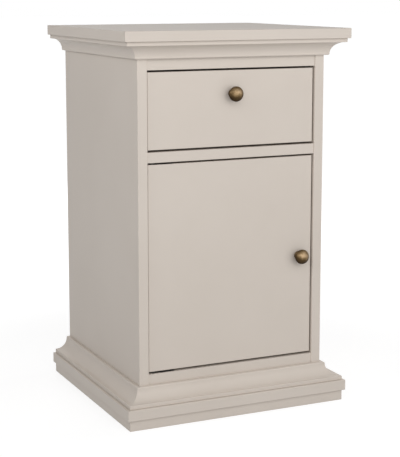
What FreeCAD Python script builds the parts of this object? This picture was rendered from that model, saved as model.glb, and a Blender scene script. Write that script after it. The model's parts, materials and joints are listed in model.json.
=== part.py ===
import FreeCAD
import Part
import math
import os

Vector = FreeCAD.Vector

# Nightstand: a drawer over a door in a moulded carcass. X to the right, +Y to the back, Z up.
# The origin is on the floor, under the centre of the top slab. All sizes are in millimetres.

# Carcass
overall_height = 680.0
carcass_width = 359.0
carcass_depth = 364.0
slab_overhang = 35.0
top_thickness = 18.0
side_thickness = 18.0
panel_thickness = 18.0
rail_thickness = 18.0
top_rail_height = 49.0
stretcher_height = 60.0
back_thickness = 3.0
back_inset = 10.0
back_groove_depth = 6.0
back_groove_play = 0.5

# Base
base_thickness = 19.0
plinth_height = 19.0
plinth_overhang = 30.0
plinth_thickness = 18.0

# Moulding section, one way up as the cornice and the other way up at the base
moulding_height = 30.0
moulding_overhang = 30.0
moulding_fillet = 7.0
moulding_lip = 7.0
moulding_lip_height = 4.0
moulding_nose = 2.5
moulding_arris = 0.8

# Fronts
front_gap = 3.5
side_gap = 2.0
front_recess = 5.0
rail_recess = 2.0
front_thickness = 18.0
drawer_front_height = 132.0
edge_round = 0.5
slab_round = 1.0
stile_round = 1.5

# Shelf
shelf_thickness = 18.0
shelf_rise = 185.0
shelf_setback = 45.0
shelf_play = 0.5
shelf_pin_radius = 2.5
shelf_pin_length = 16.0
shelf_pin_margin = 35.0

# Housings, dowels and base screws
housing_depth = 6.0
housing_stop = 12.0
joint_margin = 55.0
dowel_radius = 4.0
dowel_in_face = 10.0
dowel_in_edge = 20.0
base_screw_offset = 25.0
base_screw_tip_gap = 4.0
base_screw_radius = 3.5

# Drawer box
drawer_side_thickness = 12.0
drawer_side_drop = 24.0
drawer_rear_clearance = 28.0
drawer_rise = 12.0
drawer_back_thickness = 12.0
drawer_bottom_thickness = 3.0
drawer_bottom_rise = 10.0
drawer_groove_depth = 6.0
drawer_groove_play = 0.5
drawer_dowel_in_face = 8.0

# Roller runners
runner_gap = 12.5
runner_sheet = 1.2
runner_rise = 8.0
runner_setback = 2.0
runner_rear_clearance = 26.0
runner_flange_clearance = 2.0
runner_headroom = 3.0
drawer_runner_height = 27.0
roller_radius = 8.0
roller_side_clearance = 1.5
roller_play = 0.2
flange_clearance = 1.0
roller_inset = 10.0
axle_radius = 2.0
axle_head_radius = 3.0
axle_head_height = 0.3
running_clearance = 0.05

# Pivot hinges
pivot_inset = 9.0
pivot_depth = 5.5
hinge_width = 8.0
hinge_length = 45.0
hinge_thickness = 2.5
pin_radius = 2.0
pin_reach = 6.0
pin_bore_clearance = 0.5
washer_radius = 4.0
washer_clearance = 0.1

# Magnetic catch
catch_inset = 50.0
catch_width = 42.0
catch_depth = 14.0
catch_height = 18.0
catch_gap = 0.3
magnet_width = 20.0
magnet_depth = 9.0
magnet_height = 6.0
pole_thickness = 2.0
pole_proud = 0.5
strike_width = 30.0
strike_height = 10.0
strike_thickness = 1.5

# Knobs
knob_radius = 13.3
knob_rim_round = 6.4
knob_head_depth = 20.0
knob_projection = 25.0
knob_neck_radius = 5.5
knob_neck_start = 3.5
knob_foot_radius = 8.0
knob_foot_height = 1.5
drawer_knob_drop = 40.5
door_knob_inset = 25.5
knob_screw_radius = 2.0
knob_screw_reach = 11.0
knob_screw_head_radius = 4.0
knob_screw_head_height = 2.2

# Planes across the object
half_carcass = carcass_width / 2
half_inner = half_carcass - side_thickness
half_slab = half_carcass + slab_overhang
half_front = half_inner - side_gap
slab_depth = carcass_depth + slab_overhang
slab_front = -slab_depth / 2
back = slab_depth / 2
carcass_front = slab_front + slab_overhang
rail_front = carcass_front + rail_recess
face_front = carcass_front + front_recess
face_back = face_front + front_thickness
back_inner = back - back_inset - back_thickness

# Levels, from the floor up
base_top = plinth_height + base_thickness
bottom_underside = base_top + moulding_height
bottom_top = bottom_underside + panel_thickness
top_underside = overall_height - top_thickness
top_rail_underside = top_underside - top_rail_height
drawer_face_top = top_rail_underside - front_gap
drawer_face_bottom = drawer_face_top - drawer_front_height
divider_top = drawer_face_bottom - front_gap
divider_underside = divider_top - panel_thickness
door_top = divider_underside - front_gap
door_bottom = bottom_top + front_gap
shelf_underside = bottom_top + shelf_rise

# Joint lines along the depth
front_joint = carcass_front + joint_margin
back_joint = back_inner - joint_margin
sides = (-1, 1)

nodes = {}


def box(x_low, x_high, y_low, y_high, z_low, z_high):
    """Block between two corners."""
    corner = Vector(x_low, y_low, z_low)
    return Part.makeBox(x_high - x_low, y_high - y_low, z_high - z_low, corner)


def rod(radius, start, end):
    """Round bar between two points."""
    return Part.makeCylinder(radius, (end - start).Length, start, end - start)


def mirrored(shape):
    """The same piece on the other side of the object."""
    return shape.mirror(Vector(0, 0, 0), Vector(1, 0, 0))


def rounded(shape, radius, wanted):
    """Shape with each wanted edge rounded."""
    return shape.makeFillet(radius, [edge for edge in shape.Edges if wanted(edge)])


def edge_on(edge, axis, level):
    """True where all of an edge lies on one plane across an axis."""
    return all(abs(vertex.Point[axis] - level) < 1e-6 for vertex in edge.Vertexes)


def bored(shape, *tools):
    """Shape with a snug hole for each tool that meets it."""
    for tool in tools:
        if shape.BoundBox.intersect(tool.BoundBox):
            shape = shape.cut(tool)
    return shape


def prism(points, z_low, z_high):
    """Upright prism on an outline of straight lines."""
    corners = [Vector(x, y, z_low) for x, y in points]
    outline = Part.makePolygon(corners + corners[:1])
    return Part.Face(outline).extrude(Vector(0, 0, z_high - z_low))


def add(name, *solids):
    """Keep the solids of one named piece."""
    nodes[name] = solids[0] if len(solids) == 1 else Part.makeCompound(list(solids))


# Fasteners
def dowel(joint, into_edge, in_face):
    """Dowel across a joint, deeper in the board edge than in the board face."""
    return rod(dowel_radius, joint - into_edge * in_face, joint + into_edge * dowel_in_edge)


def carcass_dowels():
    """Dowels between the side panels and the top slab, the top rail and the rear stretcher."""
    rail_y = rail_front + rail_thickness / 2
    stretcher_y = back_inner - rail_thickness / 2
    dowels = []
    for side in sides:
        middle = side * (half_inner + side_thickness / 2)
        for depth in (front_joint, back_joint):
            dowels.append(dowel(Vector(middle, depth, top_underside), Vector(0, 0, -1), dowel_in_face))
        for depth, height in ((rail_y, top_rail_height), (stretcher_y, stretcher_height)):
            joint = Vector(side * half_inner, depth, top_underside - height / 2)
            dowels.append(dowel(joint, Vector(-side, 0, 0), dowel_in_face))
    return dowels


def base_screws():
    """Screws up through the base slab into the lower edges of the side panels."""
    screws = []
    for side in sides:
        for depth in (front_joint + base_screw_offset, back_joint - base_screw_offset):
            start = Vector(side * (half_inner + side_thickness / 2), depth, plinth_height)
            tip = Vector(start.x, depth, bottom_underside - base_screw_tip_gap)
            screws.append(rod(base_screw_radius, start, tip))
    return screws


def shelf_pins():
    """Pins in the side panels, under the corners of the shelf."""
    pins = []
    level = shelf_underside - shelf_pin_radius
    shelf_front = carcass_front + shelf_setback
    for side in sides:
        for depth in (shelf_front + shelf_pin_margin, back_inner - shelf_pin_margin):
            middle = Vector(side * half_inner, depth, level)
            reach = Vector(side * shelf_pin_length / 2, 0, 0)
            pins.append(rod(shelf_pin_radius, middle + reach, middle - reach))
    return pins


# Mouldings and plinth
def mitre_front(z_low, z_high):
    """Space of a front length, bounded by the two mitres."""
    reach = slab_overhang + plinth_overhang
    outer_x = half_carcass + reach
    outer_y = carcass_front - reach
    corners = (
        (-half_carcass, carcass_front),
        (half_carcass, carcass_front),
        (outer_x, outer_y),
        (-outer_x, outer_y),
    )
    return prism(corners, z_low, z_high)


def mitre_left(z_low, z_high):
    """Space of a left length, bounded by the mitre at the front and the plane of the back."""
    reach = slab_overhang + plinth_overhang
    outer_x = -half_carcass - reach
    corners = (
        (-half_carcass, carcass_front),
        (outer_x, carcass_front - reach),
        (outer_x, back),
        (-half_carcass, back),
    )
    return prism(corners, z_low, z_high)


def rounding(start, corner, end):
    """Arc that rounds off a square corner, from one point to another at the same distance from it."""
    centre = start + end - corner
    radius = (start - corner).Length
    middle = centre + (corner - centre).normalize() * radius
    return Part.Arc(start, middle, end).toShape()


def moulding_section(place):
    """Section of the moulding: an eased fillet at the slab, a cove, and a rounded lip on the carcass."""
    cove_end = moulding_height - moulding_lip_height
    cove_out = moulding_overhang - moulding_arris
    cove_width = cove_out - moulding_lip
    cove_height = cove_end - moulding_fillet
    slant = math.sqrt(0.5)
    corner = place(0, 0)
    slab_stop = place(cove_out, 0)
    fillet_start = place(moulding_overhang, moulding_arris)
    fillet_stop = place(moulding_overhang, moulding_fillet - moulding_arris)
    cove_start = place(cove_out, moulding_fillet)
    cove_middle = place(cove_out - cove_width * slant, cove_end - cove_height * slant)
    cove_stop = place(moulding_lip, cove_end)
    nose_start = place(moulding_lip, moulding_height - moulding_nose)
    nose_stop = place(moulding_lip - moulding_nose, moulding_height)
    heel = place(0, moulding_height)
    edges = [
        Part.makeLine(corner, slab_stop),
        rounding(slab_stop, place(moulding_overhang, 0), fillet_start),
        Part.makeLine(fillet_start, fillet_stop),
        rounding(fillet_stop, place(moulding_overhang, moulding_fillet), cove_start),
        Part.Arc(cove_start, cove_middle, cove_stop).toShape(),
        Part.makeLine(cove_stop, nose_start),
        rounding(nose_start, place(moulding_lip, moulding_height), nose_stop),
        Part.makeLine(nose_stop, heel),
        Part.makeLine(heel, corner),
    ]
    return Part.Face(Part.Wire(edges))


def moulding(name, slab_level, away):
    """The three mitred lengths of a moulding that runs along a slab. Away is 1 upwards, -1 downwards."""
    z_low = min(slab_level, slab_level + away * moulding_height)
    z_high = z_low + moulding_height
    reach = half_carcass + moulding_overhang
    front_section = moulding_section(
        lambda out, rise: Vector(-reach, carcass_front - out, slab_level + away * rise)
    )
    front = front_section.extrude(Vector(2 * reach, 0, 0)).common(mitre_front(z_low, z_high))
    left_section = moulding_section(
        lambda out, rise: Vector(-half_carcass - out, back, slab_level + away * rise)
    )
    left_run = Vector(0, carcass_front - moulding_overhang - back, 0)
    left = left_section.extrude(left_run).common(mitre_left(z_low, z_high))
    add(f"{name}_front", front)
    add(f"{name}_left", left)
    add(f"{name}_right", mirrored(left))


def plinth():
    """Four strips under the base slab, mitred at the front."""
    outer = half_carcass + plinth_overhang
    inner = outer - plinth_thickness
    front_face = carcass_front - plinth_overhang
    front = box(-outer, outer, front_face, front_face + plinth_thickness, 0, plinth_height)
    left = box(-outer, -inner, front_face, back, 0, plinth_height)
    left = left.common(mitre_left(0, plinth_height))
    add("plinth_front", front.common(mitre_front(0, plinth_height)))
    add("plinth_left", left)
    add("plinth_right", mirrored(left))
    add("plinth_back", box(-inner, inner, back - plinth_thickness, back, 0, plinth_height))


# Boards of the carcass
def slab(z_low, z_high):
    """Overhanging slab, flush with the carcass at the back, its other edges eased."""
    board = box(-half_slab, half_slab, slab_front, back, z_low, z_high)
    return rounded(board, slab_round, lambda edge: not edge_on(edge, 1, back))


def side_panel():
    """Left side panel: eased front edges and a groove for the back panel."""
    board = box(-half_carcass, -half_inner, carcass_front, back, base_top, top_underside)

    def stile_edge(edge):
        return edge_on(edge, 1, carcass_front) and edge.Length > top_underside - base_top - 1

    board = rounded(board, stile_round, stile_edge)
    groove_bottom = -half_inner - back_groove_depth
    groove = box(groove_bottom, -half_inner, back_inner, back_inner + back_thickness, base_top, top_underside)
    return board.cut(groove)


def housed_panel(z_low, z_high, eased):
    """Panel housed in the side panels behind a stop, its front edges rounded at the eased levels."""
    reach = half_inner + housing_depth
    board = box(-reach, reach, rail_front, back_inner, z_low, z_high)
    for side in sides:
        x_low, x_high = sorted((side * half_inner, side * reach))
        board = board.cut(box(x_low, x_high, rail_front, carcass_front + housing_stop, z_low, z_high))

    def eased_edge(edge):
        return edge_on(edge, 1, rail_front) and any(edge_on(edge, 2, level) for level in eased)

    return rounded(board, edge_round, eased_edge)


def top_rail():
    """Rail between the cornice and the drawer."""
    rail_back = rail_front + rail_thickness
    board = box(-half_inner, half_inner, rail_front, rail_back, top_rail_underside, top_underside)

    def lower_edge(edge):
        return edge_on(edge, 1, rail_front) and edge_on(edge, 2, top_rail_underside)

    return rounded(board, edge_round, lower_edge)


def board_between_sides(y_front, z_low, z_high):
    """Upright board that stands between the side panels."""
    return box(-half_inner, half_inner, y_front, y_front + rail_thickness, z_low, z_high)


def back_panel():
    """Thin back panel, held in the grooves of the side panels."""
    half_width = half_inner + back_groove_depth - back_groove_play
    return box(-half_width, half_width, back_inner, back_inner + back_thickness, base_top, top_underside)


def shelf():
    """Loose shelf on its pins."""
    half_width = half_inner - shelf_play
    shelf_front = carcass_front + shelf_setback
    board = box(
        -half_width, half_width, shelf_front, back_inner - shelf_play,
        shelf_underside, shelf_underside + shelf_thickness,
    )
    return rounded(board, edge_round, lambda edge: edge_on(edge, 1, shelf_front) and edge.Length > half_width)


# Pivot hinges
pivot_x = -half_front + pivot_inset
pivot_y = face_front + pivot_depth


def hinge_plate(z_low, z_high):
    """Flat plate with round ends, one of them about the pivot."""
    radius = hinge_width / 2
    far_x = pivot_x + hinge_length - hinge_width
    near_side = Vector(pivot_x, pivot_y - radius, z_low)
    near_other = Vector(pivot_x, pivot_y + radius, z_low)
    far_side = Vector(far_x, pivot_y - radius, z_low)
    far_other = Vector(far_x, pivot_y + radius, z_low)
    outline = Part.Wire([
        Part.makeLine(near_side, far_side),
        Part.Arc(far_side, Vector(far_x + radius, pivot_y, z_low), far_other).toShape(),
        Part.makeLine(far_other, near_other),
        Part.Arc(near_other, Vector(pivot_x - radius, pivot_y, z_low), near_side).toShape(),
    ])
    return Part.Face(outline).extrude(Vector(0, 0, z_high - z_low))


class PivotHinge:
    """One hinge. Up is 1 at the top of the door and -1 at its foot."""

    def __init__(self, door_level, carcass_level, up):
        def on_axis(level):
            return Vector(pivot_x, pivot_y, level)

        leaf_back = door_level - up * hinge_thickness
        plate_back = carcass_level + up * hinge_thickness
        pin_tip = leaf_back - up * pin_reach
        eye_radius = pin_radius + running_clearance
        self.pin = rod(pin_radius, on_axis(plate_back), on_axis(pin_tip))
        self.bore = rod(
            pin_radius + pin_bore_clearance, on_axis(door_level), on_axis(pin_tip - up * pin_bore_clearance)
        )
        self.leaf_recess = hinge_plate(*sorted((door_level, leaf_back)))
        self.leaf = self.leaf_recess.cut(rod(eye_radius, on_axis(door_level), on_axis(leaf_back)))
        self.plate_recess = hinge_plate(*sorted((carcass_level, plate_back)))
        self.plate = self.plate_recess.cut(self.pin)
        washer_face = carcass_level - up * (front_gap - washer_clearance)
        washer = rod(washer_radius, on_axis(carcass_level), on_axis(washer_face))
        self.washer = washer.cut(rod(eye_radius, on_axis(carcass_level), on_axis(washer_face)))


# Magnetic catch under the divider, near the free edge of the door
catch_x = half_inner - catch_inset
catch_front = face_back + strike_thickness + catch_gap + pole_proud
catch_bottom = divider_underside - catch_height


def catch_pieces():
    """Housing, magnet and pole plates of the catch."""
    housing = box(
        catch_x - catch_width / 2, catch_x + catch_width / 2,
        catch_front, catch_front + catch_depth, catch_bottom, divider_underside,
    )
    housing = rounded(housing, edge_round, lambda edge: edge_on(edge, 2, catch_bottom))
    middle = catch_bottom + catch_height / 2
    left = catch_x - magnet_width / 2
    right = catch_x + magnet_width / 2
    rear = catch_front + magnet_depth
    magnet_low = middle - magnet_height / 2
    magnet_high = middle + magnet_height / 2
    magnet = box(left, right, catch_front, rear, magnet_low, magnet_high)
    tip = catch_front - pole_proud
    lower_pole = box(left, right, tip, rear, magnet_low - pole_thickness, magnet_low)
    upper_pole = box(left, right, tip, rear, magnet_high, magnet_high + pole_thickness)
    return bored(housing, magnet, lower_pole, upper_pole), magnet, (lower_pole, upper_pole)


def strike_plate():
    """Strike plate on the inner face of the door."""
    middle = catch_bottom + catch_height / 2
    return box(
        catch_x - strike_width / 2, catch_x + strike_width / 2,
        face_back, face_back + strike_thickness, middle - strike_height / 2, middle + strike_height / 2,
    )


# Turned knobs
def knob_section(at):
    """Half section of a knob: foot, neck and a flattened ball of three tangent arcs."""
    half_depth = knob_head_depth / 2
    ball_height = knob_projection - half_depth
    spread = knob_radius ** 2 + half_depth ** 2 - 2 * knob_radius * knob_rim_round
    dome_radius = spread / (2 * (half_depth - knob_rim_round))
    sink = dome_radius - half_depth
    neck_end = ball_height + sink - math.sqrt(dome_radius ** 2 - knob_neck_radius ** 2)
    rim_centre = at(knob_radius - knob_rim_round, ball_height)
    front_centre = at(0, ball_height - sink)
    rear_centre = at(0, ball_height + sink)
    front_join = rim_centre + (rim_centre - front_centre).normalize() * knob_rim_round
    rear_join = rim_centre + (rim_centre - rear_centre).normalize() * knob_rim_round
    tip = at(0, knob_projection)
    neck = at(knob_neck_radius, neck_end)

    def dome_arc(start, end, centre):
        chord_middle = (start + end) / 2
        middle = centre + (chord_middle - centre).normalize() * dome_radius
        return Part.Arc(start, middle, end).toShape()

    straight_lines = Part.makePolygon([
        tip,
        at(0, 0),
        at(knob_foot_radius, 0),
        at(knob_foot_radius, knob_foot_height),
        at(knob_neck_radius, knob_neck_start),
        neck,
    ])
    ball = [
        dome_arc(neck, rear_join, rear_centre),
        Part.Arc(rear_join, at(knob_radius, ball_height), front_join).toShape(),
        dome_arc(front_join, tip, front_centre),
    ]
    return Part.Face(Part.Wire(straight_lines.Edges + ball))


def knob_pieces(x, z):
    """Turned knob, and the screw that holds it from behind the board."""

    def at(radius, projection):
        return Vector(x + radius, face_front - projection, z)

    knob = knob_section(at).revolve(Vector(x, face_front, z), Vector(0, 1, 0), 360)
    seat = Vector(x, face_back, z)
    outward = Vector(0, -1, 0)
    head = rod(knob_screw_head_radius, seat - outward * knob_screw_head_height, seat)
    screw = head.fuse(rod(knob_screw_radius, seat, seat + outward * (front_thickness + knob_screw_reach)))
    return knob.cut(screw), screw


# Drawer
half_drawer = half_inner - runner_gap
drawer_inner = half_drawer - drawer_side_thickness
drawer_bottom_edge = divider_top + drawer_rise
drawer_top_edge = drawer_face_top - drawer_side_drop
drawer_rear = back_inner - drawer_rear_clearance
drawer_floor = drawer_bottom_edge + drawer_bottom_rise
drawer_floor_top = drawer_floor + drawer_bottom_thickness
drawer_joint_level = (drawer_floor_top + drawer_top_edge) / 2


def front_board(z_low, z_high):
    """Flat drawer or door front, the edges of its face eased."""
    board = box(-half_front, half_front, face_front, face_back, z_low, z_high)
    return rounded(board, edge_round, lambda edge: edge_on(edge, 1, face_front))


def drawer_bottom():
    """Thin drawer bottom, in grooves at the front and both sides."""
    reach = drawer_groove_depth - drawer_groove_play
    half_width = drawer_inner + reach
    return box(-half_width, half_width, face_back - reach, drawer_rear, drawer_floor, drawer_floor_top)


def drawer_groove():
    """Space of the grooves that the drawer bottom slides into."""
    half_width = drawer_inner + drawer_groove_depth
    front = face_back - drawer_groove_depth
    return box(-half_width, half_width, front, drawer_rear, drawer_floor, drawer_floor_top)


def drawer_dowels():
    """Dowels from the drawer front into the drawer sides, and from the sides into the drawer back."""
    dowels = []
    for side in sides:
        middle = side * (drawer_inner + drawer_side_thickness / 2)
        front_joint_place = Vector(middle, face_back, drawer_joint_level)
        dowels.append(dowel(front_joint_place, Vector(0, 1, 0), drawer_dowel_in_face))
        rear = drawer_rear - drawer_back_thickness / 2
        rear_joint_place = Vector(side * drawer_inner, rear, drawer_joint_level)
        dowels.append(dowel(rear_joint_place, Vector(-side, 0, 0), drawer_dowel_in_face))
    return dowels


# Roller runners. A distance in the gap is measured from the side panel towards the drawer.
channel_underside = divider_top + runner_rise
channel_floor = channel_underside + runner_sheet
drawer_flange = channel_floor + 2 * roller_radius + flange_clearance
channel_ceiling = channel_floor + 2 * roller_radius + runner_headroom
channel_top = channel_ceiling + runner_sheet
runner_front = face_back + runner_setback
runner_rear = back_inner - runner_rear_clearance
roller_start = runner_sheet + roller_side_clearance
roller_end = runner_gap - runner_sheet - roller_side_clearance
front_roller_y = runner_front + roller_inset
rear_roller_y = drawer_rear - roller_inset
front_roller_z = drawer_flange - roller_play - roller_radius
rear_roller_z = channel_floor + roller_play + roller_radius


def gap_point(distance, y, z):
    """Point in the gap at the left side panel."""
    return Vector(-half_inner + distance, y, z)


def folded_sheet(outline, y_low, y_high):
    """Folded steel profile along the depth, from an outline of (distance, level) points."""
    corners = [gap_point(distance, y_low, level) for distance, level in outline]
    face = Part.Face(Part.makePolygon(corners + corners[:1]))
    return face.extrude(Vector(0, y_high - y_low, 0))


def cabinet_runner():
    """Channel on the left side panel: the rear roller runs between its two flanges."""
    reach = runner_gap - runner_flange_clearance
    outline = (
        (0, channel_underside),
        (reach, channel_underside),
        (reach, channel_floor),
        (runner_sheet, channel_floor),
        (runner_sheet, channel_ceiling),
        (reach, channel_ceiling),
        (reach, channel_top),
        (0, channel_top),
    )
    return folded_sheet(outline, runner_front, runner_rear)


def drawer_runner():
    """Profile on the left drawer side: its flange rides on the front roller."""
    web = runner_gap - runner_sheet
    web_top = drawer_bottom_edge + drawer_runner_height
    outline = (
        (web, drawer_bottom_edge),
        (runner_gap, drawer_bottom_edge),
        (runner_gap, web_top),
        (web, web_top),
        (web, drawer_flange + runner_sheet),
        (roller_start, drawer_flange + runner_sheet),
        (roller_start, drawer_flange),
        (web, drawer_flange),
    )
    return folded_sheet(outline, face_back, drawer_rear)


def roller(y, z):
    """Roller, bored to run on its axle."""
    start = gap_point(roller_start, y, z)
    end = gap_point(roller_end, y, z)
    wheel = rod(roller_radius, start, end)
    return wheel.cut(rod(axle_radius + running_clearance, start, end))


def axle(root, tip, y, z):
    """Axle fixed in a profile at its root, with a low head beyond the roller at its tip."""
    outward = math.copysign(1, tip - root)
    head_seat = tip - outward * axle_head_height
    shank = rod(axle_radius, gap_point(root, y, z), gap_point(head_seat, y, z))
    return shank.fuse(rod(axle_head_radius, gap_point(head_seat, y, z), gap_point(tip, y, z)))


def front_axle():
    """Axle of the front roller, on the cabinet channel."""
    tip = roller_end + 2 * axle_head_height
    return axle(0, tip, front_roller_y, front_roller_z)


def rear_axle():
    """Axle of the rear roller, on the drawer profile."""
    tip = roller_start - 2 * axle_head_height
    return axle(runner_gap, tip, rear_roller_y, rear_roller_z)


def pair(shape):
    """A left piece with its mirror image at the right."""
    return [shape, mirrored(shape)]


def build_carcass(upper, lower):
    """Everything that stands still, and the front rollers that turn on it."""
    divider = housed_panel(divider_underside, divider_top, (divider_underside, divider_top))
    bottom = housed_panel(bottom_underside, bottom_top, (bottom_top,))
    dowels = carcass_dowels()
    long_screws = base_screws()
    pins = shelf_pins()
    fasteners = dowels + long_screws + pins

    left_side = side_panel()
    add("side_panel_left", bored(left_side, divider, bottom, *fasteners))
    add("side_panel_right", bored(mirrored(left_side), divider, bottom, *fasteners))
    add("top_panel", bored(slab(top_underside, overall_height), *dowels))
    add("base_panel", bored(slab(plinth_height, base_top), *long_screws))
    add("divider_panel", divider.cut(upper.plate_recess))
    add("bottom_panel", bottom.cut(lower.plate_recess))
    add("top_rail", bored(top_rail(), *dowels))
    add("base_rail", board_between_sides(carcass_front, base_top, bottom_underside))
    stretcher_front = back_inner - rail_thickness
    stretcher = board_between_sides(stretcher_front, top_underside - stretcher_height, top_underside)
    add("rear_stretcher", bored(stretcher, *dowels))
    add("back_panel", back_panel())
    add("shelf", shelf())
    moulding("cornice", top_underside, -1)
    moulding("base_moulding", base_top, 1)
    plinth()
    add("dowels", *dowels)
    add("base_screws", *long_screws)
    add("shelf_pins", *pins)

    axles = pair(front_axle())
    left_runner = cabinet_runner().cut(axles[0])
    add("cabinet_runner_left", left_runner)
    add("cabinet_runner_right", mirrored(left_runner))
    add("front_axles", *axles)
    add("front_rollers", *pair(roller(front_roller_y, front_roller_z)))

    add("hinge_plate_upper", upper.plate)
    add("hinge_plate_lower", lower.plate)
    add("hinge_pins", upper.pin, lower.pin)
    add("hinge_washers", upper.washer, lower.washer)
    housing, magnet, poles = catch_pieces()
    add("catch_housing", housing)
    add("catch_magnet", magnet)
    add("catch_pole_plates", *poles)


def build_drawer():
    """Everything that slides out, and the rear rollers that turn on it."""
    dowels = drawer_dowels()
    knob, knob_screw = knob_pieces(0, drawer_face_top - drawer_knob_drop)
    groove = drawer_groove()
    face = front_board(drawer_face_bottom, drawer_face_top)
    side = box(-half_drawer, -drawer_inner, face_back, drawer_rear, drawer_bottom_edge, drawer_top_edge)
    rear_face = drawer_rear - drawer_back_thickness
    rear_board = box(-drawer_inner, drawer_inner, rear_face, drawer_rear, drawer_floor_top, drawer_top_edge)
    add("drawer_front", bored(face, groove, knob_screw, *dowels))
    add("drawer_side_left", bored(side, groove, *dowels))
    add("drawer_side_right", bored(mirrored(side), groove, *dowels))
    add("drawer_back", bored(rear_board, *dowels))
    add("drawer_bottom", drawer_bottom())
    add("drawer_dowels", *dowels)
    add("drawer_knob", knob)
    add("drawer_knob_screw", knob_screw)

    axles = pair(rear_axle())
    left_runner = drawer_runner().cut(axles[0])
    add("drawer_runner_left", left_runner)
    add("drawer_runner_right", mirrored(left_runner))
    add("rear_axles", *axles)
    add("rear_rollers", *pair(roller(rear_roller_y, rear_roller_z)))


def build_door(upper, lower):
    """Everything that turns with the door."""
    knob, knob_screw = knob_pieces(half_front - door_knob_inset, (door_bottom + door_top) / 2)
    hinge_spaces = (upper.leaf_recess, upper.bore, lower.leaf_recess, lower.bore)
    add("door_panel", bored(front_board(door_bottom, door_top), knob_screw, *hinge_spaces))
    add("hinge_leaf_upper", upper.leaf)
    add("hinge_leaf_lower", lower.leaf)
    add("strike_plate", strike_plate())
    add("door_knob", knob)
    add("door_knob_screw", knob_screw)


upper_hinge = PivotHinge(door_top, divider_underside, 1)
lower_hinge = PivotHinge(door_bottom, bottom_top, -1)
build_carcass(upper_hinge, lower_hinge)
build_drawer()
build_door(upper_hinge, lower_hinge)
os.makedirs("parts", exist_ok=True)
for node_name, node_shape in nodes.items():
    node_shape.exportStep(f"parts/{node_name}.step")
print(len(nodes), "nodes")
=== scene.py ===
import json
import math

import bmesh
import bpy
from mathutils import Matrix, Vector


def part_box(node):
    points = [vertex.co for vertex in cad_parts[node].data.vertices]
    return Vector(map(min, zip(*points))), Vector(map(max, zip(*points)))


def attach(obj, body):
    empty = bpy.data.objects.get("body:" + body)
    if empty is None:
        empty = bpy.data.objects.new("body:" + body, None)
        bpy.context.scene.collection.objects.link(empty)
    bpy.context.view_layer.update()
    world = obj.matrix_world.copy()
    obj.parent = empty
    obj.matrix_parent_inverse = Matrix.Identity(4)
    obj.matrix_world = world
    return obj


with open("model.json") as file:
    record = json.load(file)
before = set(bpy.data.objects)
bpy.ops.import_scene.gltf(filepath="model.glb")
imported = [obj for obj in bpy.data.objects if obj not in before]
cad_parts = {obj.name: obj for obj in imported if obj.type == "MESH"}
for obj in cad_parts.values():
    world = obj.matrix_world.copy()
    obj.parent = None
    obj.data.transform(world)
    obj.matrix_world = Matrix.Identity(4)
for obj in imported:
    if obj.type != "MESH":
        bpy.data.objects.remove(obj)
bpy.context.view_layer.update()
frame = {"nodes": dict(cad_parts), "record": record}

scene = bpy.context.scene
nodes = frame["nodes"]
MM = 0.001
WHITE = (1, 1, 1)

# Photograph's frame and the camera that took it
IMAGE_HEIGHT = 457
SENSOR = 36.0
FOCAL_PIXELS = 1283.0
OPTICAL_CENTRE_ROW = 188.0
CAMERA_PLACE = Vector((-0.9892, -2.1499, 0.7475))
CAMERA_YAW = 24.98
CAMERA_PITCH = 8.81

# Painted shade in crevices, by how open the surface is within reach
CREVICE_REACH = 8 * MM
CREVICE_SAMPLES = 6
GAP_OPENNESS = 0.08
CORNER_OPENNESS = 0.42
FREE_OPENNESS = 0.72
CORNER_PAINTED_SHADE = (0.90, 0.89, 0.88)

# Most values of a noise lie between these
NOISE_LOW = 0.3
NOISE_HIGH = 0.7

# Colour sockets of a mix node
MIX_FIRST = 6
MIX_SECOND = 7
MIX_RESULT = 2


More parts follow.
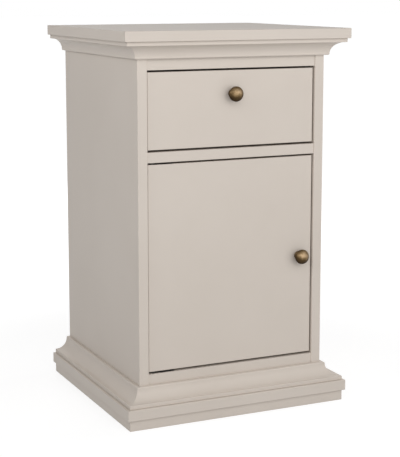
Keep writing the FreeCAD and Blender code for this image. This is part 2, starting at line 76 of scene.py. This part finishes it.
# Material helpers
class Surface:
    """A node material that is built up around one principled shader."""

    def __init__(self, name):
        self.material = bpy.data.materials.new(name)
        self.material.use_nodes = True
        self.tree = self.material.node_tree
        self.shader = self.tree.nodes["Principled BSDF"]
        self.coordinates = self.tree.nodes.new("ShaderNodeTexCoord")

    def set(self, **values):
        """Constant values of the shader, by socket name with underscores for spaces."""
        for name, value in values.items():
            self.shader.inputs[name.replace("_", " ")].default_value = value

    def link(self, source, target):
        self.tree.links.new(source, target)

    def mapped(self, scale=(1, 1, 1)):
        """Object coordinates, scaled along each axis."""
        node = self.tree.nodes.new("ShaderNodeMapping")
        node.inputs["Scale"].default_value = scale
        self.link(self.coordinates.outputs["Object"], node.inputs["Vector"])
        return node.outputs["Vector"]

    def noise(self, vector, scale, detail=3.0, roughness=0.5, distortion=0.0):
        """Noise with features of about 1/scale metres."""
        node = self.tree.nodes.new("ShaderNodeTexNoise")
        node.inputs["Scale"].default_value = scale
        node.inputs["Detail"].default_value = detail
        node.inputs["Roughness"].default_value = roughness
        node.inputs["Distortion"].default_value = distortion
        self.link(vector, node.inputs["Vector"])
        return node.outputs["Fac"]

    def ramp(self, factor, stops):
        """Colours along a factor, from (position, colour) pairs."""
        node = self.tree.nodes.new("ShaderNodeValToRGB")
        elements = node.color_ramp.elements
        while len(elements) < len(stops):
            elements.new(0.5)
        for element, (position, colour) in zip(elements, stops):
            element.position = position
            element.color = (*colour, 1)
        self.link(factor, node.inputs["Fac"])
        return node.outputs["Color"]

    def tones(self, noise, dark, light):
        """Colours between a dark and a light one, spread over a noise."""
        return self.ramp(noise, ((NOISE_LOW, dark), (NOISE_HIGH, light)))

    def range(self, factor, low, high, from_low=0.0, from_high=1.0):
        """A factor spread between two values."""
        node = self.tree.nodes.new("ShaderNodeMapRange")
        node.inputs["From Min"].default_value = from_low
        node.inputs["From Max"].default_value = from_high
        node.inputs["To Min"].default_value = low
        node.inputs["To Max"].default_value = high
        self.link(factor, node.inputs["Value"])
        return node.outputs["Result"]

    def math(self, operation, first, second):
        """A sum, product or the like. The second value is a number or an output."""
        node = self.tree.nodes.new("ShaderNodeMath")
        node.operation = operation
        self.link(first, node.inputs[0])
        if isinstance(second, (int, float)):
            node.inputs[1].default_value = second
        else:
            self.link(second, node.inputs[1])
        return node.outputs["Value"]

    def total(self, first, *others):
        """The sum of several outputs."""
        for other in others:
            first = self.math("ADD", first, other)
        return first

    def multiply(self, first, second):
        """One colour times another."""
        node = self.tree.nodes.new("ShaderNodeMix")
        node.data_type = "RGBA"
        node.blend_type = "MULTIPLY"
        node.inputs["Factor"].default_value = 1.0
        self.link(first, node.inputs[MIX_FIRST])
        self.link(second, node.inputs[MIX_SECOND])
        return node.outputs[MIX_RESULT]

    def with_painted_shade(self, tone, gap_painted_shade):
        """A tone with painted shade, darker in gaps and, slightly, along joints."""
        node = self.tree.nodes.new("ShaderNodeAmbientOcclusion")
        node.samples = CREVICE_SAMPLES
        node.inputs["Distance"].default_value = CREVICE_REACH
        # Painted shade: dark in gaps, slight along joints, none on open faces
        shade = self.ramp(node.outputs["AO"], (
            (GAP_OPENNESS, gap_painted_shade),
            (CORNER_OPENNESS, CORNER_PAINTED_SHADE),
            (FREE_OPENNESS, WHITE),
        ))
        return self.multiply(tone, shade)

    def bump(self, height, depth, strength, under=None):
        """A normal from a height, over another normal if one is given."""
        node = self.tree.nodes.new("ShaderNodeBump")
        node.inputs["Strength"].default_value = strength
        node.inputs["Distance"].default_value = depth
        self.link(height, node.inputs["Height"])
        if under is not None:
            self.link(under, node.inputs["Normal"])
        return node.outputs["Normal"]

    def colour(self, output):
        self.link(output, self.shader.inputs["Base Color"])

    def roughness(self, output):
        self.link(output, self.shader.inputs["Roughness"])

    def normal(self, output):
        self.link(output, self.shader.inputs["Normal"])


# Colours of the materials, as linear colour
PAINT = (0.645, 0.580, 0.518)
PAINT_LIGHT = (0.657, 0.592, 0.531)
PAINT_DARK = (0.631, 0.566, 0.504)
# Painted shade of the paint in gaps, as a factor on its colour
PAINT_GAP_SHADE = (0.75, 0.73, 0.70)
HARDBOARD_DARK = (0.560, 0.505, 0.448)
HARDBOARD_LIGHT = (0.612, 0.556, 0.498)
BEECH_DARK = (0.46, 0.33, 0.20)
BEECH_LIGHT = (0.62, 0.47, 0.31)
BEECH_PORE = (0.82, 0.80, 0.78)
# Lightest brass, in worn spots of the mottle and in the upper dome's painted highlight
BRASS_WORN_AND_PAINTED_HIGHLIGHT = (0.300, 0.215, 0.130)
BRASS_YELLOW = (0.185, 0.126, 0.066)
BRASS_BROWN = (0.082, 0.052, 0.024)
BRASS_BLACK = (0.042, 0.026, 0.013)
ZINC_DARK = (0.50, 0.50, 0.51)
ZINC_LIGHT = (0.68, 0.68, 0.69)
BLACKENED_DARK = (0.028, 0.025, 0.022)
BLACKENED_LIGHT = (0.055, 0.050, 0.045)
POWDER_DARK = (0.74, 0.74, 0.72)
POWDER_LIGHT = (0.81, 0.81, 0.79)
PLASTIC_DARK = (0.70, 0.69, 0.66)
PLASTIC_LIGHT = (0.77, 0.76, 0.73)
# Painted shade of the plastic in gaps, as a factor on its colour
PLASTIC_GAP_SHADE = (0.16, 0.15, 0.14)
FERRITE_DARK = (0.035, 0.035, 0.038)
FERRITE_LIGHT = (0.075, 0.075, 0.08)


# Materials
def painted_board():
    """Satin greige paint, sprayed on board: soft patches, fine orange peel, and painted shade in gaps and
    joints.
    """
    surface = Surface("painted_board")
    place = surface.mapped()
    patches = surface.noise(place, scale=5.0, detail=4.0, roughness=0.6)
    tone = surface.ramp(patches, ((NOISE_LOW, PAINT_DARK), (0.5, PAINT), (NOISE_HIGH, PAINT_LIGHT)))
    # Painted shade in gaps and along joints
    surface.colour(surface.with_painted_shade(tone, PAINT_GAP_SHADE))
    surface.roughness(surface.range(surface.noise(place, scale=40.0), low=0.40, high=0.48))
    peel = surface.noise(place, scale=700.0, detail=2.0)
    surface.normal(surface.bump(peel, depth=0.03 * MM, strength=0.5))
    surface.set(Specular_IOR_Level=0.20)
    return surface.material


def hardboard():
    """Painted hardboard: the same paint, thinner, over a faint fibre."""
    surface = Surface("hardboard")
    fibre = surface.noise(surface.mapped(), scale=260.0, detail=6.0, roughness=0.7)
    surface.colour(surface.tones(fibre, HARDBOARD_DARK, HARDBOARD_LIGHT))
    surface.roughness(surface.range(fibre, low=0.58, high=0.72))
    surface.normal(surface.bump(fibre, depth=0.08 * MM, strength=0.7))
    surface.set(Specular_IOR_Level=0.3)
    return surface.material


GRAIN_ACROSS = 60.0
GRAIN_ALONG = 2.5
PORE_FINENESS = 9


def beech(name, along):
    """Pale wood with its grain along one axis, and short dark pores."""
    surface = Surface(name)
    stretch = [GRAIN_ACROSS] * 3
    stretch[along] = GRAIN_ALONG
    grain = surface.noise(surface.mapped(stretch), scale=1.0, detail=8.0, roughness=0.62, distortion=0.8)
    finer = [value * PORE_FINENESS for value in stretch]
    pores = surface.noise(surface.mapped(finer), scale=1.0, detail=2.0)
    tone = surface.ramp(grain, ((0.28, BEECH_DARK), (0.72, BEECH_LIGHT)))
    fleck = surface.ramp(pores, ((0.32, BEECH_PORE), (0.42, WHITE)))
    surface.colour(surface.multiply(tone, fleck))
    surface.roughness(surface.range(grain, low=0.42, high=0.56))
    surface.normal(surface.bump(pores, depth=0.05 * MM, strength=0.5))
    surface.set(Specular_IOR_Level=0.4)
    return surface.material


# Aged brass, with its painted highlight and painted shade, is placed by the knob's own box, which runs
# from 0 to 1 each way
KNOB_CENTRE = 0.5
TURNING_RINGS = 150.0


def aged_brass_with_painted_shade():
    """Antique brass: mottled, with a painted highlight on the upper dome, painted shade at the rim and
    below, and darker towards the foot.
    """
    surface = Surface("aged_brass_with_painted_shade")
    separate = surface.tree.nodes.new("ShaderNodeSeparateXYZ")
    surface.link(surface.coordinates.outputs["Generated"], separate.inputs["Vector"])
    across = surface.math("SUBTRACT", separate.outputs["X"], KNOB_CENTRE)
    up = surface.math("SUBTRACT", separate.outputs["Z"], KNOB_CENTRE)
    square = surface.total(surface.math("POWER", across, 2.0), surface.math("POWER", up, 2.0))
    radius = surface.math("POWER", square, 0.5)
    cloud = surface.noise(surface.mapped(), scale=150.0, detail=5.0, roughness=0.65)
    # Painted shade, darker towards the rim of the dome
    rim = surface.range(radius, low=0.0, high=0.34, from_low=0.18, from_high=0.48)
    # Painted shade, darker towards the bottom, which leaves a painted highlight on the upper dome
    underside = surface.range(up, low=0.52, high=0.0, from_low=-0.26, from_high=0.16)
    # Darker towards the foot
    rear = surface.range(separate.outputs["Y"], low=0.0, high=0.30, from_low=0.35, from_high=0.80)
    mottle = surface.range(cloud, low=-0.45, high=0.45)
    age_and_painted_shade = surface.total(rim, underside, rear, mottle)
    # Tone by the sum: painted highlight where it is low, painted shade where it is high
    surface.colour(surface.ramp(age_and_painted_shade, (
        (0.02, BRASS_WORN_AND_PAINTED_HIGHLIGHT),
        (0.22, BRASS_YELLOW),
        (0.48, BRASS_BROWN),
        (0.85, BRASS_BLACK),
    )))
    surface.roughness(surface.range(age_and_painted_shade, low=0.50, high=0.56))
    rings = surface.math("SINE", surface.math("MULTIPLY", radius, TURNING_RINGS), 0.0)
    pitted = surface.bump(cloud, depth=0.06 * MM, strength=0.4)
    surface.normal(surface.bump(rings, depth=0.02 * MM, strength=0.12, under=pitted))
    surface.set(Metallic=1.0)
    return surface.material


def plated_steel():
    """Zinc plate: fine spangle and slightly uneven gloss."""
    surface = Surface("plated_steel")
    spangle = surface.noise(surface.mapped(), scale=420.0, detail=4.0, roughness=0.6)
    surface.colour(surface.tones(spangle, ZINC_DARK, ZINC_LIGHT))
    surface.roughness(surface.range(spangle, low=0.28, high=0.42))
    surface.normal(surface.bump(spangle, depth=0.03 * MM, strength=0.5))
    surface.set(Metallic=1.0)
    return surface.material


def blackened_steel():
    """Blackened hinges: dark brown-black, dull, with a faint mottle."""
    surface = Surface("blackened_steel")
    mottle = surface.noise(surface.mapped(), scale=300.0, detail=4.0, roughness=0.6)
    surface.colour(surface.tones(mottle, BLACKENED_DARK, BLACKENED_LIGHT))
    surface.roughness(surface.range(mottle, low=0.48, high=0.62))
    surface.normal(surface.bump(mottle, depth=0.03 * MM, strength=0.5))
    surface.set(Metallic=0.6)
    return surface.material


def powder_coat():
    """White powder coat on the runners."""
    surface = Surface("powder_coat")
    place = surface.mapped()
    grain = surface.noise(place, scale=900.0, detail=2.0)
    surface.colour(surface.tones(surface.noise(place, scale=12.0), POWDER_DARK, POWDER_LIGHT))
    surface.roughness(surface.range(grain, low=0.38, high=0.5))
    surface.normal(surface.bump(grain, depth=0.04 * MM, strength=0.6))
    return surface.material


def moulded_plastic():
    """Off-white moulded plastic with a faint grain, and dark painted shade in gaps."""
    surface = Surface("moulded_plastic")
    grain = surface.noise(surface.mapped(), scale=650.0)
    # Dark painted shade in gaps
    surface.colour(surface.with_painted_shade(surface.tones(grain, PLASTIC_DARK, PLASTIC_LIGHT), PLASTIC_GAP_SHADE))
    surface.roughness(surface.range(grain, low=0.42, high=0.55))
    surface.normal(surface.bump(grain, depth=0.03 * MM, strength=0.5))
    return surface.material


def ferrite():
    """Dull dark magnet."""
    surface = Surface("ferrite")
    grit = surface.noise(surface.mapped(), scale=800.0, detail=4.0, roughness=0.7)
    surface.colour(surface.tones(grit, FERRITE_DARK, FERRITE_LIGHT))
    surface.roughness(surface.range(grit, low=0.6, high=0.8))
    surface.normal(surface.bump(grit, depth=0.06 * MM, strength=0.6))
    return surface.material


# Finish of each material slot
ALONG_X = 0
ALONG_Y = 1
ALONG_Z = 2
FINISHES = {
    "painted_board": painted_board(),
    "hardboard": hardboard(),
    "drawer_wood": beech("drawer_side_wood", ALONG_Y),
    "dowel_wood": beech("dowel_wood", ALONG_Z),
    "brass": aged_brass_with_painted_shade(),
    "steel": plated_steel(),
    "dark_steel": blackened_steel(),
    "runner_steel": powder_coat(),
    "plastic": moulded_plastic(),
    "magnet": ferrite(),
}


def dress(name, material):
    """Give a CAD node a material."""
    slots = nodes[name].data.materials
    slots.clear()
    slots.append(material)


def dress_all():
    """Each node gets its slot's finish. The drawer's back has its grain across the drawer."""
    for subpart in frame["record"]["subparts"]:
        dress(subpart["node"], FINISHES[subpart["material_slot"]])
    dress("drawer_back", beech("drawer_back_wood", ALONG_X))


# Screw heads, with a cross recess
SCREW_RADIUS = 2.8 * MM
SCREW_ROUND = 28
RAISED_HEAD = 0.6 * MM
FLUSH_HEAD = 0.2 * MM
RECESS_REACH = 1.6 * MM
RECESS_HALF = 0.35 * MM

# Levels of a head as shares of its height, and its widths there as shares of its radius
SIDE_LEVEL = 0.5
BROW_LEVEL = 0.85
BROW_WIDTH = 0.92
CROWN_WIDTH = 0.74
RECESS_FLOOR_LEVEL = 0.2


def ring_edges(mesh, points):
    """A closed ring of edges through points."""
    verts = [mesh.verts.new(point) for point in points]
    edges = [mesh.edges.new((verts[i - 1], verts[i])) for i in range(len(verts))]
    return verts, edges


def circle(radius, height):
    """Points of a circle at a height."""
    turns = [2 * math.pi * step / SCREW_ROUND for step in range(SCREW_ROUND)]
    return [Vector((radius * math.cos(turn), radius * math.sin(turn), height)) for turn in turns]


def cross(height):
    """Corners of a cross at a height, in order round it."""
    arm = ((RECESS_REACH, -RECESS_HALF), (RECESS_REACH, RECESS_HALF), (RECESS_HALF, RECESS_HALF))
    corners = []
    for quarter in range(4):
        turn = Matrix.Rotation(quarter * math.pi / 2, 3, "Z")
        corners += [turn @ Vector((x, y, height)) for x, y in arm]
    return corners


def screw_head(mesh, place, normal, height):
    """Add a cross-recessed head to a mesh, standing on a surface."""
    first = len(mesh.verts)
    foot, _ = ring_edges(mesh, circle(SCREW_RADIUS, 0))
    side, _ = ring_edges(mesh, circle(SCREW_RADIUS, height * SIDE_LEVEL))
    brow, _ = ring_edges(mesh, circle(SCREW_RADIUS * BROW_WIDTH, height * BROW_LEVEL))
    crown, crown_edges = ring_edges(mesh, circle(SCREW_RADIUS * CROWN_WIDTH, height))
    for low, high in ((foot, side), (side, brow), (brow, crown)):
        for i in range(SCREW_ROUND):
            mesh.faces.new((low[i - 1], low[i], high[i], high[i - 1]))
    mouth, mouth_edges = ring_edges(mesh, cross(height))
    floor, _ = ring_edges(mesh, cross(height * RECESS_FLOOR_LEVEL))
    bmesh.ops.triangle_fill(mesh, edges=crown_edges + mouth_edges, use_beauty=True)
    for i in range(len(mouth)):
        mesh.faces.new((mouth[i - 1], mouth[i], floor[i], floor[i - 1]))
    mesh.faces.new(floor)
    mesh.faces.new(list(reversed(foot)))
    mesh.verts.ensure_lookup_table()
    turn = normal.to_track_quat("Z", "X").to_matrix().to_4x4()
    bmesh.ops.transform(mesh, matrix=Matrix.Translation(place) @ turn, verts=mesh.verts[first:])


def screws(name, body, slot, places, normal, height=RAISED_HEAD):
    """One piece with all the screws of a fitting."""
    mesh = bmesh.new()
    for place in places:
        screw_head(mesh, Vector(place), Vector(normal), height)
    bmesh.ops.recalc_face_normals(mesh, faces=mesh.faces)
    data = bpy.data.meshes.new(name)
    mesh.to_mesh(data)
    mesh.free()
    data.materials.append(FINISHES[slot])
    piece = bpy.data.objects.new(name, data)
    scene.collection.objects.link(piece)
    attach(piece, body)


# Places of the screws on their fittings
HINGE_SCREW_FIRST = 19 * MM
HINGE_SCREW_NEXT = 37 * MM
RUNNER_SCREW_INSET = 34 * MM
RUNNER_SCREW_DROP = 6.5 * MM
RUNNER_SHEET = 1.2 * MM
CATCH_SCREW_INSET = 5.5 * MM


def hinge_screws(name, node, body, side):
    """Two screws on a hinge plate. Side is 1 for its upper face and -1 for its lower face."""
    low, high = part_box(node)
    level = high.z if side > 0 else low.z
    middle = (low.y + high.y) / 2
    places = [(low.x + reach, middle, level) for reach in (HINGE_SCREW_FIRST, HINGE_SCREW_NEXT)]
    screws(name, body, "dark_steel", places, (0, 0, side))


def catch_screws():
    """Two screws under the catch, and one flush in the strike plate."""
    low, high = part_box("catch_housing")
    middle = (low.y + high.y) / 2
    places = [(x, middle, low.z) for x in (low.x + CATCH_SCREW_INSET, high.x - CATCH_SCREW_INSET)]
    screws("catch_screws", "carcass", "steel", places, (0, 0, -1))
    low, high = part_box("strike_plate")
    centre = (low + high) / 2
    screws("strike_screw", "door", "steel", [(centre.x, high.y, centre.z)], (0, 1, 0), FLUSH_HEAD)


def runner_screws(kind, body):
    """Two screws in the web of each runner, on the side that faces the gap."""
    for side, sign in (("left", -1), ("right", 1)):
        low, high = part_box(f"{kind}_{side}")
        reaches = (low.x * sign, high.x * sign)
        if body == "carcass":
            wall = max(reaches)
            facing = -sign
            level = (low.z + high.z) / 2
        else:
            wall = min(reaches)
            facing = sign
            level = high.z - RUNNER_SCREW_DROP
        x = sign * wall + facing * RUNNER_SHEET
        places = [(x, y, level) for y in (low.y + RUNNER_SCREW_INSET, high.y - RUNNER_SCREW_INSET)]
        screws(f"{kind}_screws_{side}", body, "steel", places, (facing, 0, 0))


def fitting_screws():
    """Screws of the hinges, the catch, the strike plate and the runners."""
    hinge_screws("hinge_plate_screws_upper", "hinge_plate_upper", "carcass", -1)
    hinge_screws("hinge_plate_screws_lower", "hinge_plate_lower", "carcass", 1)
    hinge_screws("hinge_leaf_screws_upper", "hinge_leaf_upper", "door", 1)
    hinge_screws("hinge_leaf_screws_lower", "hinge_leaf_lower", "door", -1)
    catch_screws()
    runner_screws("cabinet_runner", "carcass")
    runner_screws("drawer_runner", "drawer")


# Floor
FLOOR_SIZE = 60.0
FLOOR_DROP = 0.2 * MM
FLOOR_COLOUR = (0.30, 0.30, 0.30, 1)
FLOOR_GLOW = 0.26
LIFT_NEAR = 0.80
LIFT_FAR = 1.0
NEAR_REACH = 0.45
FAR_REACH = 1.30


def white_for_viewers(tree):
    """1 for rays that come from the camera, a mirror or glass, and 0 for the rest."""
    path = tree.nodes.new("ShaderNodeLightPath")
    first = tree.nodes.new("ShaderNodeMath")
    first.operation = "MAXIMUM"
    second = tree.nodes.new("ShaderNodeMath")
    second.operation = "MAXIMUM"
    tree.links.new(path.outputs["Is Camera Ray"], first.inputs[0])
    tree.links.new(path.outputs["Is Glossy Ray"], first.inputs[1])
    tree.links.new(first.outputs["Value"], second.inputs[0])
    tree.links.new(path.outputs["Is Transmission Ray"], second.inputs[1])
    return second.outputs["Value"]


def floor_material():
    """Pale floor that takes the shadow and reads white beyond it."""
    material = bpy.data.materials.new("floor")
    material.use_nodes = True
    tree = material.node_tree
    tree.nodes.clear()
    diffuse = tree.nodes.new("ShaderNodeBsdfDiffuse")
    diffuse.inputs["Color"].default_value = FLOOR_COLOUR
    place = tree.nodes.new("ShaderNodeTexCoord")
    distance = tree.nodes.new("ShaderNodeVectorMath")
    distance.operation = "LENGTH"
    tree.links.new(place.outputs["Object"], distance.inputs[0])
    rise = tree.nodes.new("ShaderNodeMapRange")
    rise.interpolation_type = "SMOOTHSTEP"
    rise.inputs["From Min"].default_value = NEAR_REACH
    rise.inputs["From Max"].default_value = FAR_REACH
    rise.inputs["To Min"].default_value = LIFT_NEAR
    rise.inputs["To Max"].default_value = LIFT_FAR
    tree.links.new(distance.outputs["Value"], rise.inputs["Value"])
    lift = tree.nodes.new("ShaderNodeEmission")
    strength = tree.nodes.new("ShaderNodeMapRange")
    strength.inputs["To Min"].default_value = FLOOR_GLOW
    tree.links.new(white_for_viewers(tree), strength.inputs["Value"])
    tree.links.new(rise.outputs["Result"], strength.inputs["To Max"])
    tree.links.new(strength.outputs["Result"], lift.inputs["Strength"])
    both = tree.nodes.new("ShaderNodeAddShader")
    tree.links.new(diffuse.outputs["BSDF"], both.inputs[0])
    tree.links.new(lift.outputs["Emission"], both.inputs[1])
    output = tree.nodes.new("ShaderNodeOutputMaterial")
    tree.links.new(both.outputs["Shader"], output.inputs["Surface"])
    return material


def floor():
    """Wide plain floor just under the plinth."""
    half = FLOOR_SIZE / 2
    corners = [(x * half, y * half, -FLOOR_DROP) for x, y in ((-1, -1), (1, -1), (1, 1), (-1, 1))]
    data = bpy.data.meshes.new("floor")
    data.from_pydata(corners, [], [(0, 1, 2, 3)])
    data.materials.append(floor_material())
    piece = bpy.data.objects.new("floor", data)
    scene.collection.objects.link(piece)


# Room light, and lamps by name, place, aim, diameter, power and whether reflections show them
WORLD_LIGHT = 0.08
LAMPS = (
    ("key", (0.8, -1.9, 0.95), (0, -0.1, 0.55), 2.2, 14.0, True),
    ("front", (-0.5, -1.7, 1.10), (0, -0.1, 0.58), 2.2, 19.0, True),
    ("left_fill", (-2.1, -0.25, 1.45), (0, 0, 0.45), 1.6, 17.0, True),
    ("right_fill", (2.4, 0.2, 0.90), (0, 0, 0.40), 1.6, 22.5, False),
    ("rear_fill", (0.4, 2.4, 1.10), (0, 0, 0.40), 1.6, 21.0, False),
)


def room_light():
    """Faint even light from a world that looks white."""
    world = bpy.data.worlds.new("studio")
    scene.world = world
    world.use_nodes = True
    tree = world.node_tree
    background = tree.nodes["Background"]
    background.inputs["Color"].default_value = (*WHITE, 1)
    spread = tree.nodes.new("ShaderNodeMapRange")
    spread.inputs["To Min"].default_value = WORLD_LIGHT
    spread.inputs["To Max"].default_value = 1.0
    tree.links.new(white_for_viewers(tree), spread.inputs["Value"])
    tree.links.new(spread.outputs["Result"], background.inputs["Strength"])


def lamps():
    """Large soft lamps round the object."""
    for name, place, aim, size, power, reflected in LAMPS:
        data = bpy.data.lights.new(name, "AREA")
        data.shape = "DISK"
        data.size = size
        data.energy = power
        lamp = bpy.data.objects.new(name, data)
        lamp.location = place
        lamp.visible_glossy = reflected
        lamp.rotation_euler = (Vector(aim) - Vector(place)).to_track_quat("-Z", "Y").to_euler()
        scene.collection.objects.link(lamp)


def camera():
    """Camera at the photograph's place."""
    data = bpy.data.cameras.new("camera")
    data.sensor_width = SENSOR
    data.lens = FOCAL_PIXELS * SENSOR / IMAGE_HEIGHT
    data.shift_y = (OPTICAL_CENTRE_ROW - IMAGE_HEIGHT / 2) / IMAGE_HEIGHT
    yaw = math.radians(CAMERA_YAW)
    pitch = math.radians(CAMERA_PITCH)
    ahead = Vector((math.sin(yaw) * math.cos(pitch), math.cos(yaw) * math.cos(pitch), -math.sin(pitch)))
    viewer = bpy.data.objects.new("camera", data)
    viewer.location = CAMERA_PLACE
    viewer.rotation_euler = ahead.to_track_quat("-Z", "Y").to_euler()
    scene.collection.objects.link(viewer)
    scene.camera = viewer


# The scene
dress_all()
fitting_screws()
floor()
room_light()
lamps()
camera()
scene.view_settings.view_transform = "Standard"
